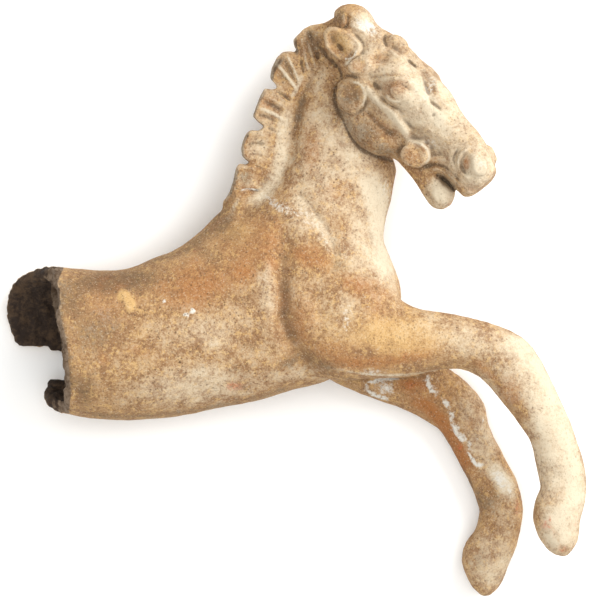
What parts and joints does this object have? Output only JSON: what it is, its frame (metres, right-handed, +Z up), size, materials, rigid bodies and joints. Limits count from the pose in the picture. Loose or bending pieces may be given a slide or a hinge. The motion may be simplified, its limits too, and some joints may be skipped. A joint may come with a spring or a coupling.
{
  "type": "terracotta horse figure",
  "caption": "Forepart of a leaping horse in fired clay: hollow barrel broken open behind, cropped mane, turned head with a studded bridle, and bent forelegs.",
  "frame": {"origin": "centre of the bounding box in plan, at the surface that the figure lies on", "axes": "+X from the broken rear towards the hooves, +Y from the belly towards the poll, +Z up from the left side that it lies on to the right side that shows"},
  "size_m": [0.2496, 0.2558, 0.0627],
  "materials": {
    "terracotta": "matt fired clay with worn white slip and traces of pink"
  },
  "bodies": {
    "root": {"horse_figure": "terracotta"}
  },
  "joints": []
}
